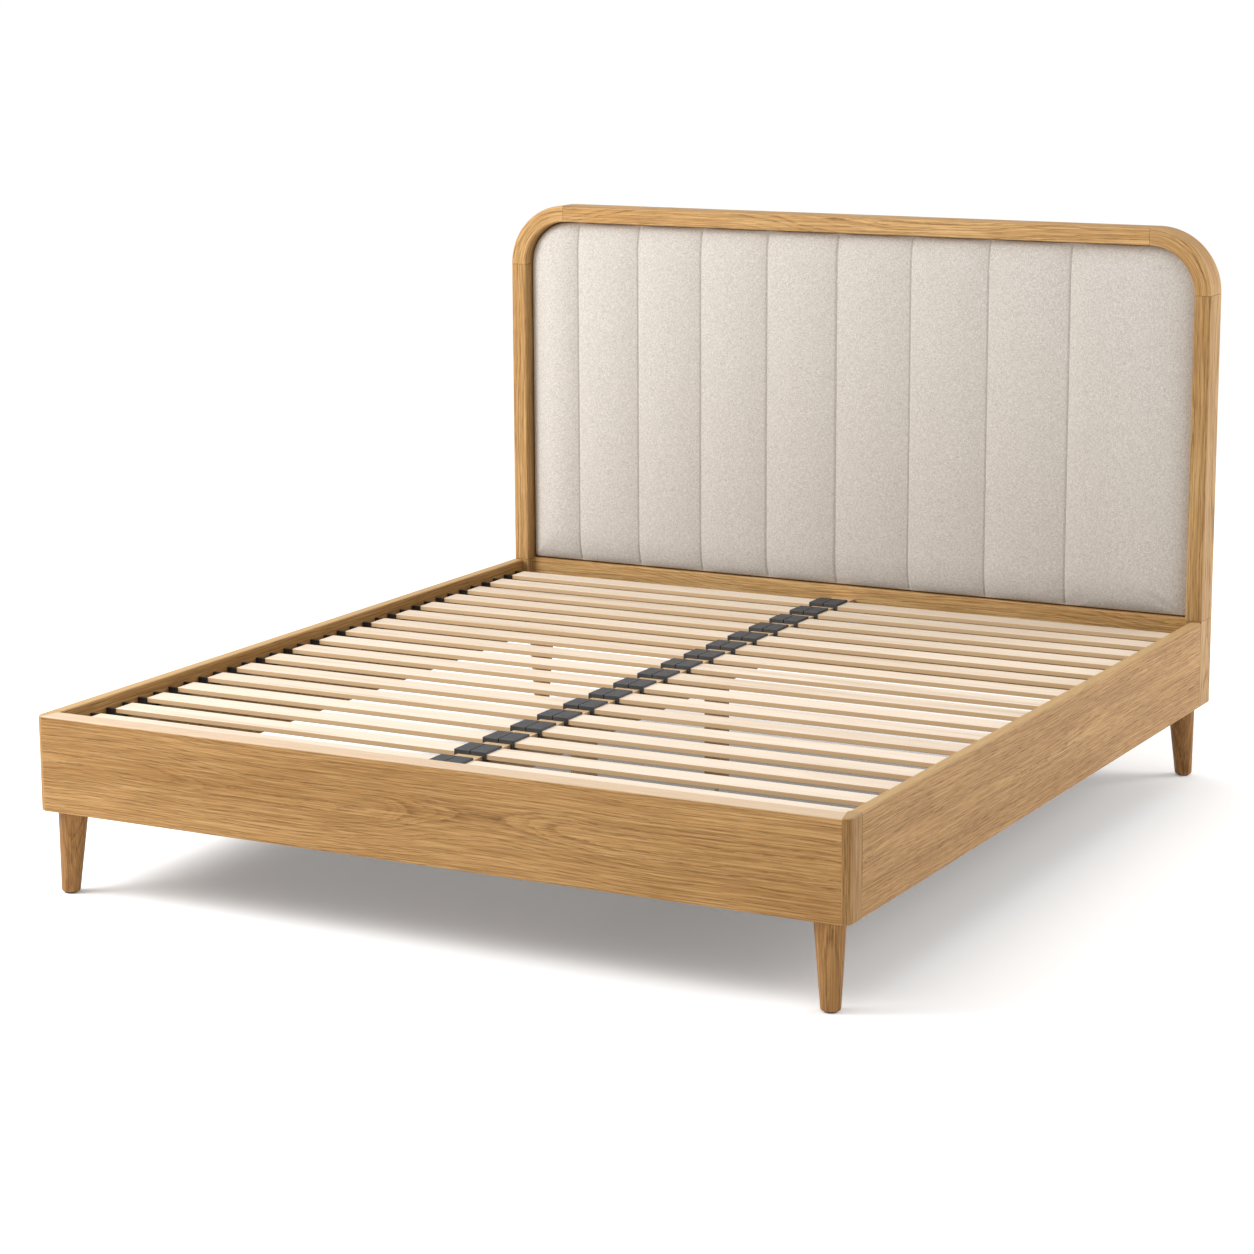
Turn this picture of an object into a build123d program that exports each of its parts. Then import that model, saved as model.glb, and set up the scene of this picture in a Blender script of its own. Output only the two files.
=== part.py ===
"""Super-king wooden bed frame with a padded headboard, in millimetres.

X runs across the bed, Y from the footboard to the headboard, Z up.
The origin is on the floor, below the middle of the bed's outline.
"""

import os

from build123d import *

# ---- Whole bed ----
BED_WIDTH = 1900
BED_LENGTH = 2130
RAIL_BOTTOM = 183
RAIL_TOP = 392
FRONT_Y = -BED_LENGTH / 2
BACK_Y = BED_LENGTH / 2

# ---- Footboard and side rails ----
FOOTBOARD_THICK = 50
RAIL_THICK = 28.5
CORNER_LENGTH = 59
CORNER_RADIUS = 20
CORNER_FACE = 16
OUTER_EDGE_RADIUS = 5
INNER_EDGE_RADIUS = 4
BOTTOM_EDGE_RADIUS = 3
RAIL_END_RADIUS = 2.5
HOOK_GAP = 4

# ---- Headboard ----
HEAD_WIDTH = 1896
HEAD_TOP = 1329
HEAD_THICK = 80
FRAME_FACE = 41
HEAD_RADIUS = 155
BACK_EDGE_RADIUS = 2.5
CROSS_RAIL_RECESS = 24
CROSS_RAIL_THICK = 32
CROSS_RAIL_BOTTOM = 345
CROSS_RAIL_TOP = 394.5
LOWER_PANEL_THICK = 20
PAD_GAP = 2
PAD_FRONT_RECESS = 11
PAD_BACK_RECESS = 52
PAD_EDGE_RADIUS = 16
PAD_FOOT_RADIUS = 8
PLY_THICK = 12

# ---- Joint lines ----
JOINT_GROOVE = 0.8
JOINT_DEPTH = 3
RAIL_GROOVE = 1.2

# ---- Slats ----
ROWS = 17
FIRST_ROW_Y = FRONT_Y + 130
LAST_ROW_Y = FRONT_Y + 1978
SLAT_TOP = 368.5
SLAT_THICK = 11
SLAT_WIDTH = 62
SLAT_INNER_X = 31
SLAT_OUTER_X = 897
SLAT_EDGE_RADIUS = 1.2

# ---- Centre beam and caps ----
BEAM_WIDTH = 58
BEAM_TOP = 364
BEAM_BOTTOM = 294
CAP_SPLIT = 2.5
CAP_HALF = 38
CAP_LENGTH = 65
CAP_TOP = 374
CAP_FLOOR = 3.5
CAP_EDGE_RADIUS = 2

# ---- Slat holders and cleats ----
HOLDER_LENGTH = 66
HOLDER_REACH = 41.5
HOLDER_BASE = 8
HOLDER_LEDGE = 1
HOLDER_EAR = 8
CLEAT_WIDTH = 35.5
CLEAT_HEIGHT = 35

# ---- Corner legs ----
LEG_TOP_RADIUS = 32.5
LEG_FOOT_RADIUS = 20
LEG_FOOT_EDGE = 5
LEG_TOP_X = 891
LEG_SPLAY_X = 7
FRONT_LEG_TOP_Y = FRONT_Y + 45
BACK_LEG_TOP_Y = BACK_Y - 40
LEG_SPLAY_Y = 10
GLIDE_RADIUS = 14
GLIDE_HEIGHT = 3
GLIDE_SPIGOT = 12
BOLT_RADIUS = 4
BOLT_IN_LEG = 40
BOLT_IN_BLOCK = 45
BLOCK_HEIGHT = 60
BLOCK_INNER_X = 828
BLOCK_BACK_Y = BACK_Y - 5
BLOCK_POCKET = 28
FRONT_BLOCK_DEPTH = 56

# ---- Centre legs and their adjustable feet ----
CENTRE_LEG_YS = {"front": FRONT_Y + 700, "rear": FRONT_Y + 1350}
CENTRE_LEG_SIZE = 45
CENTRE_LEG_FOOT = 38
PAD_RADIUS = 21
PAD_HEIGHT = 10
STUD_RADIUS = 5
STUD_CLEARANCE = 0.05
STUD_FOOT = 4
STUD_TOP = 75
STUD_BORE_TOP = 93
STUD_BORE_RADIUS = 6.5
HEX_ACROSS_FLATS = 17
HEX_BOTTOM = 14
HEX_HEIGHT = 6
INSERT_RADIUS = 8
INSERT_LENGTH = 20

# ---- Steel fittings ----
PLATE = 2.5
HANGER_DEPTH = 40
HANGER_EAR = 24
HANGER_RISE = 50
HOOK_WIDTH = 16
HOOK_BOTTOM = 212
HOOK_TOP = 362
HOOK_THICK = 3
HOOK_DEPTH = 14
HOOK_HEIGHT = 24
HOOK_SLOT_PLAY = 0.3
HOOK_SLOT_DROP = 12
ANGLE_LEG = 60
ANGLE_BOTTOM = 248
ANGLE_HEIGHT = 60
SCREW_RADIUS = 2.5
SCREW_HEAD_RADIUS = 5
SCREW_HEAD_HEIGHT = 2.2
SCREW_LENGTH = 18

# ---- Derived places ----
HALF_WIDTH = BED_WIDTH / 2
RAIL_INNER_X = HALF_WIDTH - RAIL_THICK
FOOT_INNER_Y = FRONT_Y + FOOTBOARD_THICK
CORNER_END_Y = FRONT_Y + CORNER_LENGTH
HEAD_FRONT_Y = BACK_Y - HEAD_THICK
RAIL_END_Y = HEAD_FRONT_Y - HOOK_GAP
HEAD_HALF = HEAD_WIDTH / 2
HEAD_INNER_X = HEAD_HALF - FRAME_FACE
CROSS_FRONT_Y = HEAD_FRONT_Y + CROSS_RAIL_RECESS
ARC_START_Z = HEAD_TOP - HEAD_RADIUS
ARC_START_X = HEAD_HALF - HEAD_RADIUS
SLAT_BOTTOM = SLAT_TOP - SLAT_THICK
ROW_PITCH = (LAST_ROW_Y - FIRST_ROW_Y) / (ROWS - 1)
ROW_YS = [FIRST_ROW_Y + ROW_PITCH * row for row in range(ROWS)]
CLEAT_TOP = SLAT_BOTTOM - HOLDER_BASE
SIDES = {"left": -1, "right": 1}
ENDS = {"front": -1, "back": 1}


def block(x_span, y_span, z_span):
    """A box between the given low and high values, in either order."""
    low = Vector(min(x_span), min(y_span), min(z_span))
    high = Vector(max(x_span), max(y_span), max(z_span))
    size = high - low
    centre = (low + high) * 0.5
    return Pos(centre.X, centre.Y, centre.Z) * Box(size.X, size.Y, size.Z)


def rod(centre, radius, length, direction=Axis.Z):
    """A cylinder that starts at centre and runs along direction."""
    plane = Plane(origin=centre, z_dir=direction.direction)
    return extrude(plane * Circle(radius), length)


def together(solids):
    """Several separate solids as one node."""
    return Compound(children=[part.solid() for part in solids])


def level_edges(shape, height):
    """Horizontal edges at one height."""
    return [edge for edge in shape.edges() if abs(edge.center().Z - height) < 0.01]


# ---------------------------------------------------------------- footboard
def footboard_blank():
    """Footboard with both corner blocks, before it is cut at the mitres."""
    outline = block(
        (-HALF_WIDTH, HALF_WIDTH), (FRONT_Y, CORNER_END_Y), (RAIL_BOTTOM, RAIL_TOP)
    )
    recess = block(
        (-RAIL_INNER_X, RAIL_INNER_X),
        (FOOT_INNER_Y, CORNER_END_Y),
        (RAIL_BOTTOM, RAIL_TOP),
    )
    blank = outline - recess
    uprights = blank.edges().filter_by(Axis.Z)
    blank = fillet(uprights.group_by(Axis.Y)[0], CORNER_RADIUS)
    front_and_sides = [
        edge for edge in level_edges(blank, RAIL_TOP) if is_on_outside(edge.center())
    ]
    blank = fillet(front_and_sides, OUTER_EDGE_RADIUS)
    under = [
        edge for edge in level_edges(blank, RAIL_BOTTOM) if is_on_outside(edge.center())
    ]
    blank = fillet(under, BOTTOM_EDGE_RADIUS)
    inner = [
        edge
        for edge in level_edges(blank, RAIL_TOP)
        if abs(edge.center().Y - FOOT_INNER_Y) < 0.01
    ]
    return fillet(inner, INNER_EDGE_RADIUS)


def is_on_outside(point):
    """True on the front face, the outer side faces and the round between them."""
    inside_front = point.Y > FRONT_Y + CORNER_RADIUS / 2
    inside_sides = abs(point.X) < HALF_WIDTH - CORNER_RADIUS / 2
    not_back_end = point.Y < CORNER_END_Y - 1
    return not_back_end and not (inside_front and inside_sides)


def mitre_wedge():
    """The footboard panel's plan shape, with mitred ends, as a tall solid."""
    front_x = HALF_WIDTH - CORNER_FACE
    plan = Polyline(
        (-front_x, FRONT_Y),
        (front_x, FRONT_Y),
        (RAIL_INNER_X, FOOT_INNER_Y),
        (-RAIL_INNER_X, FOOT_INNER_Y),
        close=True,
    )
    return extrude(make_face(plan), RAIL_TOP + 1)


def leg_block(end, side):
    """Hardwood block that takes a corner leg's bolt."""
    if end == "front":
        x_span = (BLOCK_INNER_X, RAIL_INNER_X)
        y_span = (FOOT_INNER_Y - BLOCK_POCKET, FOOT_INNER_Y + FRONT_BLOCK_DEPTH)
    else:
        x_span = (BLOCK_INNER_X, HEAD_INNER_X)
        y_span = (HEAD_FRONT_Y + 4, BLOCK_BACK_Y)
    sign = SIDES[side]
    x_span = [sign * x for x in x_span]
    return block(x_span, y_span, (RAIL_BOTTOM, RAIL_BOTTOM + BLOCK_HEIGHT))


def footboard_panel(blank, wedge, screws):
    panel = blank & wedge
    for side in SIDES:
        panel -= leg_block("front", side)
    for screw in screws:
        panel -= screw
    return panel


def foot_corner(blank, wedge, side):
    """Solid oak corner with a rounded outside, glued to the panel's mitre."""
    halves = (blank - wedge).solids().sort_by(Axis.X)
    return halves[0] if side == "left" else halves[-1]


# --------------------------------------------------------------- side rails
def side_rail(side, screws):
    """Rail with rounded long edges, a groove line in front and a hook end."""
    x_span = (RAIL_INNER_X, HALF_WIDTH)
    start_y = CORNER_END_Y + RAIL_GROOVE
    rail = block(x_span, (start_y, RAIL_END_Y), (RAIL_BOTTOM, RAIL_TOP))
    long_edges = rail.edges().filter_by(Axis.Y).sort_by(Axis.Z)
    lower = long_edges[:2]
    upper = long_edges[2:].sort_by(Axis.X)
    rail = fillet(lower, BOTTOM_EDGE_RADIUS)
    upper = [
        rail.edges().sort_by_distance(edge.center())[0] for edge in upper
    ]
    rail = fillet(upper[1], OUTER_EDGE_RADIUS)
    inner_edge = rail.edges().sort_by_distance(
        Vector(RAIL_INNER_X, 0, RAIL_TOP)
    )[0]
    rail = fillet(inner_edge, INNER_EDGE_RADIUS)
    rail = fillet(rail.faces().sort_by(Axis.Y)[-1].edges(), RAIL_END_RADIUS)
    rail += block(
        (RAIL_INNER_X + JOINT_DEPTH, HALF_WIDTH - JOINT_DEPTH),
        (CORNER_END_Y, start_y),
        (RAIL_BOTTOM + JOINT_DEPTH, RAIL_TOP - JOINT_DEPTH),
    )
    if side == "left":
        rail = mirror(rail, about=Plane.YZ)
    for screw in screws:
        rail -= screw
    return rail


def cleat(side):
    """Softwood strip along the rail's inside that carries the holders."""
    sign = SIDES[side]
    x_span = (sign * RAIL_INNER_X, sign * (RAIL_INNER_X - CLEAT_WIDTH))
    return block(
        x_span, (FOOT_INNER_Y, HEAD_FRONT_Y), (CLEAT_TOP - CLEAT_HEIGHT, CLEAT_TOP)
    )


# ---------------------------------------------------------------- headboard
def arch_face(half_width, top, radius, bottom):
    """Upright rectangle with two round top corners, in the back plane."""
    height = top - bottom
    sheet = Pos(0, bottom + height / 2) * Rectangle(2 * half_width, height)
    top_corners = sheet.vertices().group_by(Axis.Y)[-1]
    sheet = fillet(top_corners, radius)
    return Plane.XZ.offset(-BACK_Y) * sheet


def is_outline(edge, half_width, top, radius):
    """True for an edge on the arch with this half width, top and radius."""
    if edge.geom_type == GeomType.CIRCLE:
        return abs(edge.radius - radius) < 0.01
    middle = edge.center()
    on_side = abs(abs(middle.X) - half_width) < 0.01
    on_top = abs(middle.Z - top) < 0.01
    return on_side or on_top


def head_arch():
    """The headboard's bent frame above the rails, before it is cut up."""
    outer = arch_face(HEAD_HALF, HEAD_TOP, HEAD_RADIUS, RAIL_TOP)
    inner_radius = HEAD_RADIUS - FRAME_FACE
    inner_top = HEAD_TOP - FRAME_FACE
    inner = arch_face(HEAD_INNER_X, inner_top, inner_radius, RAIL_TOP)
    arch = extrude(outer - inner, HEAD_THICK)
    outlines = (
        (HEAD_HALF, HEAD_TOP, HEAD_RADIUS, OUTER_EDGE_RADIUS, HEAD_FRONT_Y),
        (HEAD_INNER_X, inner_top, inner_radius, INNER_EDGE_RADIUS, HEAD_FRONT_Y),
        (HEAD_HALF, HEAD_TOP, HEAD_RADIUS, BACK_EDGE_RADIUS, BACK_Y),
        (HEAD_INNER_X, inner_top, inner_radius, BACK_EDGE_RADIUS, BACK_Y),
    )
    for half_width, top, arc, rounding, y in outlines:
        chain = [
            edge
            for edge in arch.edges()
            if abs(edge.center().Y - y) < 0.01
            and edge.center().Z > RAIL_TOP + 1
            and is_outline(edge, half_width, top, arc)
        ]
        arch = fillet(chain, rounding)
    return arch


def frame_core(x_span, z_span):
    """The full-size middle of a joint, behind its groove line."""
    y_span = (HEAD_FRONT_Y + JOINT_DEPTH, BACK_Y - JOINT_DEPTH)
    return block(x_span, y_span, z_span)


def head_upright(arch, side):
    sign = SIDES[side]
    start_z = RAIL_TOP + JOINT_GROOVE
    x_span = (sign * (HEAD_INNER_X - 1), sign * (HEAD_HALF + 1))
    post = arch & block(x_span, (HEAD_FRONT_Y, BACK_Y), (start_z, ARC_START_Z))
    core_x = (sign * (HEAD_INNER_X + JOINT_DEPTH), sign * (HEAD_HALF - JOINT_DEPTH))
    return post + frame_core(core_x, (RAIL_TOP, start_z))


def head_corner(arch, side):
    """Quarter-round corner, with a groove line at each end."""
    sign = SIDES[side]
    low_z = ARC_START_Z + JOINT_GROOVE
    low_x = ARC_START_X + JOINT_GROOVE
    corner = arch & block(
        (sign * low_x, sign * (HEAD_HALF + 1)),
        (HEAD_FRONT_Y, BACK_Y),
        (low_z, HEAD_TOP + 1),
    )
    core_x = (sign * (HEAD_INNER_X + JOINT_DEPTH), sign * (HEAD_HALF - JOINT_DEPTH))
    corner += frame_core(core_x, (ARC_START_Z, low_z))
    core_z = (HEAD_TOP - FRAME_FACE + JOINT_DEPTH, HEAD_TOP - JOINT_DEPTH)
    return corner + frame_core((sign * ARC_START_X, sign * low_x), core_z)


def head_top_rail(arch):
    return arch & block(
        (-ARC_START_X, ARC_START_X),
        (HEAD_FRONT_Y, BACK_Y),
        (ARC_START_Z, HEAD_TOP + 1),
    )


def head_post(side, hooks):
    """Lower post, with slots for the rail's hooks."""
    post = block(
        (HEAD_INNER_X, HEAD_HALF), (HEAD_FRONT_Y, BACK_Y), (RAIL_BOTTOM, RAIL_TOP)
    )
    roundings = (
        (HEAD_HALF, HEAD_FRONT_Y, OUTER_EDGE_RADIUS),
        (HEAD_INNER_X, HEAD_FRONT_Y, INNER_EDGE_RADIUS),
        (HEAD_HALF, BACK_Y, BACK_EDGE_RADIUS),
        (HEAD_INNER_X, BACK_Y, BACK_EDGE_RADIUS),
    )
    middle_z = (RAIL_BOTTOM + RAIL_TOP) / 2
    for x, y, rounding in roundings:
        edge = post.edges().sort_by_distance(Vector(x, y, middle_z))[0]
        post = fillet(edge, rounding)
    if side == "left":
        post = mirror(post, about=Plane.YZ)
    for slot in hooks:
        post -= slot
    return post


def head_cross_rail():
    """Rail below the pad, set back from the frame's face."""
    rail = block(
        (-HEAD_INNER_X, HEAD_INNER_X),
        (CROSS_FRONT_Y, CROSS_FRONT_Y + CROSS_RAIL_THICK),
        (CROSS_RAIL_BOTTOM, CROSS_RAIL_TOP),
    )
    front_top = rail.edges().sort_by_distance(
        Vector(0, CROSS_FRONT_Y, CROSS_RAIL_TOP)
    )[0]
    return fillet(front_top, BOTTOM_EDGE_RADIUS)


def head_lower_panel(screws):
    panel = block(
        (-HEAD_INNER_X, HEAD_INNER_X),
        (CROSS_FRONT_Y, CROSS_FRONT_Y + LOWER_PANEL_THICK),
        (RAIL_BOTTOM, CROSS_RAIL_BOTTOM),
    )
    for side in SIDES:
        panel -= leg_block("back", side)
    for screw in screws:
        panel -= screw
    return panel


def headboard_backing():
    """Plywood sheet that closes the back and carries the pad."""
    inner_radius = HEAD_RADIUS - FRAME_FACE
    sheet = arch_face(
        HEAD_INNER_X, HEAD_TOP - FRAME_FACE, inner_radius, CROSS_RAIL_TOP
    )
    front = HEAD_FRONT_Y + PAD_BACK_RECESS
    return Pos(0, front + PLY_THICK - BACK_Y, 0) * extrude(sheet, PLY_THICK)


def headboard_pad():
    """Upholstered pad as a plain crowned block."""
    bottom = CROSS_RAIL_TOP + PAD_GAP
    radius = HEAD_RADIUS - FRAME_FACE - PAD_GAP
    sheet = arch_face(
        HEAD_INNER_X - PAD_GAP, HEAD_TOP - FRAME_FACE - PAD_GAP, radius, bottom
    )
    depth = PAD_BACK_RECESS - PAD_FRONT_RECESS
    pad = extrude(sheet, depth)
    foot_corners = pad.edges().filter_by(Axis.Y).group_by(Axis.Z)[0]
    pad = fillet(foot_corners, PAD_FOOT_RADIUS)
    pad = fillet(pad.faces().sort_by(Axis.Y)[0].edges(), PAD_EDGE_RADIUS)
    return Pos(0, HEAD_FRONT_Y + PAD_BACK_RECESS - BACK_Y, 0) * pad


# --------------------------------------------------------------- slat base
def slat(side, y):
    sign = SIDES[side]
    strip = block(
        (sign * SLAT_INNER_X, sign * SLAT_OUTER_X),
        (y - SLAT_WIDTH / 2, y + SLAT_WIDTH / 2),
        (SLAT_BOTTOM, SLAT_TOP),
    )
    return fillet(strip.edges().filter_by(Axis.X), SLAT_EDGE_RADIUS)


def slat_row(y):
    return together([slat(side, y) for side in SIDES])


def slat_cap(side, y):
    """Half of a double cap: a saddle on the beam with a pocket at its side."""
    sign = SIDES[side]
    y_span = (y - CAP_LENGTH / 2, y + CAP_LENGTH / 2)
    inner_x = CAP_SPLIT / 2
    beam_side = BEAM_WIDTH / 2
    cap = block((sign * inner_x, sign * CAP_HALF), y_span, (BEAM_TOP, CAP_TOP))
    cap += block(
        (sign * beam_side, sign * CAP_HALF),
        y_span,
        (SLAT_BOTTOM - CAP_FLOOR, CAP_TOP),
    )
    outer_top = [
        edge
        for edge in level_edges(cap, CAP_TOP)
        if abs(edge.center().X) > inner_x + 1
    ]
    cap = fillet(outer_top, CAP_EDGE_RADIUS)
    return cap - block(
        (sign * SLAT_INNER_X, sign * (CAP_HALF + 1)),
        (y - SLAT_WIDTH / 2, y + SLAT_WIDTH / 2),
        (SLAT_BOTTOM, SLAT_TOP),
    )


def slat_caps():
    return together([slat_cap(side, y) for y in ROW_YS for side in SIDES])


def slat_holder(side, y):
    """Seat on the cleat for a slat's outer end, with an ear at each edge."""
    sign = SIDES[side]
    y_span = (y - HOLDER_LENGTH / 2, y + HOLDER_LENGTH / 2)
    wall_x = sign * RAIL_INNER_X
    end_x = sign * SLAT_OUTER_X
    holder = block(
        (wall_x, sign * (RAIL_INNER_X - HOLDER_REACH)),
        y_span,
        (CLEAT_TOP, SLAT_BOTTOM),
    )
    holder += block((wall_x, end_x), y_span, (CLEAT_TOP, SLAT_BOTTOM + HOLDER_LEDGE))
    for edge_y, inward in zip(y_span, (1, -1)):
        holder += block(
            (wall_x, end_x),
            (edge_y, edge_y + inward * HOLDER_EAR),
            (CLEAT_TOP, SLAT_TOP - HOLDER_LEDGE),
        )
    return holder


def slat_holders(side):
    return together([slat_holder(side, y) for y in ROW_YS])


def centre_beam(fixings):
    beam = block(
        (-BEAM_WIDTH / 2, BEAM_WIDTH / 2),
        (FOOT_INNER_Y + PLATE, CROSS_FRONT_Y - PLATE),
        (BEAM_BOTTOM, BEAM_TOP),
    )
    for fixing in fixings:
        beam -= fixing
    return beam


# -------------------------------------------------------------- corner legs
def leg_places(end, side):
    """The centres of a leg's top and foot circles, and its bolt's foot."""
    sign = SIDES[side]
    y = FRONT_LEG_TOP_Y if end == "front" else BACK_LEG_TOP_Y
    top = (sign * LEG_TOP_X, y)
    foot = (sign * (LEG_TOP_X + LEG_SPLAY_X), y + ENDS[end] * LEG_SPLAY_Y)
    return top, foot


def corner_leg(end, side):
    """Turned taper that splays outwards, drilled for its bolt and glide."""
    top, foot = leg_places(end, side)
    low = Pos(foot[0], foot[1], GLIDE_HEIGHT) * Circle(LEG_FOOT_RADIUS)
    high = Pos(top[0], top[1], RAIL_BOTTOM) * Circle(LEG_TOP_RADIUS)
    leg = loft([low, high])
    leg = fillet(level_edges(leg, GLIDE_HEIGHT), LEG_FOOT_EDGE)
    leg -= leg_bolt(end, side)
    return leg - leg_glide(end, side)


def leg_bolt(end, side):
    top, _ = leg_places(end, side)
    start = (top[0], top[1], RAIL_BOTTOM - BOLT_IN_LEG)
    return rod(start, BOLT_RADIUS, BOLT_IN_LEG + BOLT_IN_BLOCK)


def leg_glide(end, side):
    """Round plastic glide with a spigot pressed into the leg."""
    _, foot = leg_places(end, side)
    disc = rod((foot[0], foot[1], 0), GLIDE_RADIUS, GLIDE_HEIGHT)
    disc = chamfer(level_edges(disc, 0), 0.8)
    spigot = rod((foot[0], foot[1], 0), BOLT_RADIUS, GLIDE_HEIGHT + GLIDE_SPIGOT)
    return disc + spigot


def drilled_block(end, side):
    return leg_block(end, side) - leg_bolt(end, side)


# ------------------------------------------------- centre legs and their feet
def centre_leg(y, bolt):
    """Square leg under the beam, bored for the insert and the stud."""
    half = CENTRE_LEG_SIZE / 2
    leg = block((-half, half), (y - half, y + half), (CENTRE_LEG_FOOT, BEAM_BOTTOM))
    leg = chamfer(leg.edges().filter_by(Axis.Z), 2)
    leg -= rod((0, y, CENTRE_LEG_FOOT), INSERT_RADIUS, INSERT_LENGTH)
    leg -= rod((0, y, CENTRE_LEG_FOOT), STUD_BORE_RADIUS, STUD_BORE_TOP - CENTRE_LEG_FOOT)
    return leg - bolt


def centre_bolt(y):
    """Double-ended bolt that holds a centre leg under the beam."""
    return rod((0, y, BEAM_BOTTOM - BOLT_IN_LEG), BOLT_RADIUS, 2 * BOLT_IN_LEG)


def foot_insert(y):
    """Threaded steel insert in the leg's end; the bore clears the stud."""
    sleeve = rod((0, y, CENTRE_LEG_FOOT), INSERT_RADIUS, INSERT_LENGTH)
    bore = rod((0, y, CENTRE_LEG_FOOT), STUD_RADIUS + STUD_CLEARANCE, INSERT_LENGTH)
    return sleeve - bore


def foot_stud(y):
    """Threaded stud with a hexagon for a spanner, at its major diameter."""
    stud = rod((0, y, STUD_FOOT), STUD_RADIUS, STUD_TOP - STUD_FOOT)
    stud = chamfer(level_edges(stud, STUD_TOP), 1)
    nut_face = RegularPolygon(HEX_ACROSS_FLATS / 2, 6, major_radius=False)
    return stud + extrude(Pos(0, y, HEX_BOTTOM) * nut_face, HEX_HEIGHT)


def foot_pad(y):
    """Round foot that stays still while the stud turns in its socket."""
    pad = rod((0, y, 0), PAD_RADIUS, PAD_HEIGHT)
    pad = fillet(level_edges(pad, PAD_HEIGHT), 3)
    pad = chamfer(level_edges(pad, 0), 1)
    depth = PAD_HEIGHT - STUD_FOOT
    return pad - rod((0, y, STUD_FOOT), STUD_RADIUS + STUD_CLEARANCE, depth)


# ------------------------------------------------------------ steel fittings
def screw(head, direction):
    """Button-head screw: its head stands on the plate at the given point."""
    way = Vector(*direction)
    under = Vector(*head)
    cap = extrude(
        Plane(origin=under, z_dir=way * -1) * Circle(SCREW_HEAD_RADIUS),
        SCREW_HEAD_HEIGHT,
    )
    shank = extrude(Plane(origin=under, z_dir=way) * Circle(SCREW_RADIUS), SCREW_LENGTH)
    return cap + shank


def hanger_screws(end):
    """Four screws through a beam hanger's ears."""
    face_y = FOOT_INNER_Y + PLATE if end == "front" else CROSS_FRONT_Y - PLATE
    x = BEAM_WIDTH / 2 + PLATE + HANGER_EAR / 2
    heights = (BEAM_BOTTOM + 10, BEAM_BOTTOM + HANGER_RISE - 15)
    way = (0, ENDS[end], 0)
    return [screw((sign * x, face_y, z), way) for sign in (-1, 1) for z in heights]


def beam_hanger(end):
    """Folded steel stirrup that carries one end of the centre beam."""
    inward = -ENDS[end]
    wall_y = FOOT_INNER_Y if end == "front" else CROSS_FRONT_Y
    face_y = wall_y + inward * PLATE
    reach_y = face_y + inward * HANGER_DEPTH
    half = BEAM_WIDTH / 2
    wide = half + PLATE + HANGER_EAR
    z_span = (BEAM_BOTTOM - PLATE, BEAM_BOTTOM + HANGER_RISE)
    hanger = block((-wide, wide), (wall_y, face_y), z_span)
    hanger += block(
        (-half - PLATE, half + PLATE), (face_y, reach_y), (z_span[0], BEAM_BOTTOM)
    )
    for sign in (-1, 1):
        hanger += block((sign * half, sign * (half + PLATE)), (face_y, reach_y), z_span)
    for fixing in hanger_screws(end):
        hanger -= fixing
    return hanger


def rail_hook_tongue(side, bottom, play=0.0, drop=0.0):
    """One hook of a rail's hook plate, or its slot when play is given."""
    sign = SIDES[side]
    middle = sign * (RAIL_INNER_X + HOOK_WIDTH / 2 + 4)
    half = HOOK_THICK / 2 + play
    return block(
        (middle - half, middle + half),
        (HEAD_FRONT_Y, HEAD_FRONT_Y + HOOK_DEPTH + play),
        (bottom - drop, bottom + HOOK_HEIGHT + play),
    )


def hook_bottoms():
    return (HOOK_BOTTOM + 15, HOOK_TOP - 15 - HOOK_HEIGHT)


def rail_hook(side):
    """Steel plate on the rail's end whose hooks drop into the post."""
    sign = SIDES[side]
    inner = RAIL_INNER_X + 4
    plate = block(
        (sign * inner, sign * (inner + HOOK_WIDTH)),
        (RAIL_END_Y, HEAD_FRONT_Y),
        (HOOK_BOTTOM, HOOK_TOP),
    )
    for bottom in hook_bottoms():
        plate += rail_hook_tongue(side, bottom)
    return plate


def hook_slots(side):
    return [
        rail_hook_tongue(side, bottom, HOOK_SLOT_PLAY, HOOK_SLOT_DROP)
        for bottom in hook_bottoms()
    ]


def angle_screws(side):
    """Screws of one corner angle, two in each leg: footboard's, then rail's."""
    sign = SIDES[side]
    out = ANGLE_LEG - 15
    heights = (ANGLE_BOTTOM + 15, ANGLE_BOTTOM + ANGLE_HEIGHT - 15)
    foot_x = sign * (RAIL_INNER_X - out)
    rail_x = sign * (RAIL_INNER_X - PLATE)
    into_foot = [screw((foot_x, FOOT_INNER_Y + PLATE, z), (0, -1, 0)) for z in heights]
    into_rail = [screw((rail_x, FOOT_INNER_Y + out, z), (sign, 0, 0)) for z in heights]
    return into_foot, into_rail


def corner_angle(side):
    """Steel angle in the corner between footboard and rail."""
    sign = SIDES[side]
    wall_x = sign * RAIL_INNER_X
    z_span = (ANGLE_BOTTOM, ANGLE_BOTTOM + ANGLE_HEIGHT)
    angle = block(
        (wall_x, wall_x - sign * ANGLE_LEG),
        (FOOT_INNER_Y, FOOT_INNER_Y + PLATE),
        z_span,
    )
    angle += block(
        (wall_x, wall_x - sign * PLATE),
        (FOOT_INNER_Y, FOOT_INNER_Y + ANGLE_LEG),
        z_span,
    )
    into_foot, into_rail = angle_screws(side)
    for fixing in into_foot + into_rail:
        angle -= fixing
    return angle


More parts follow.
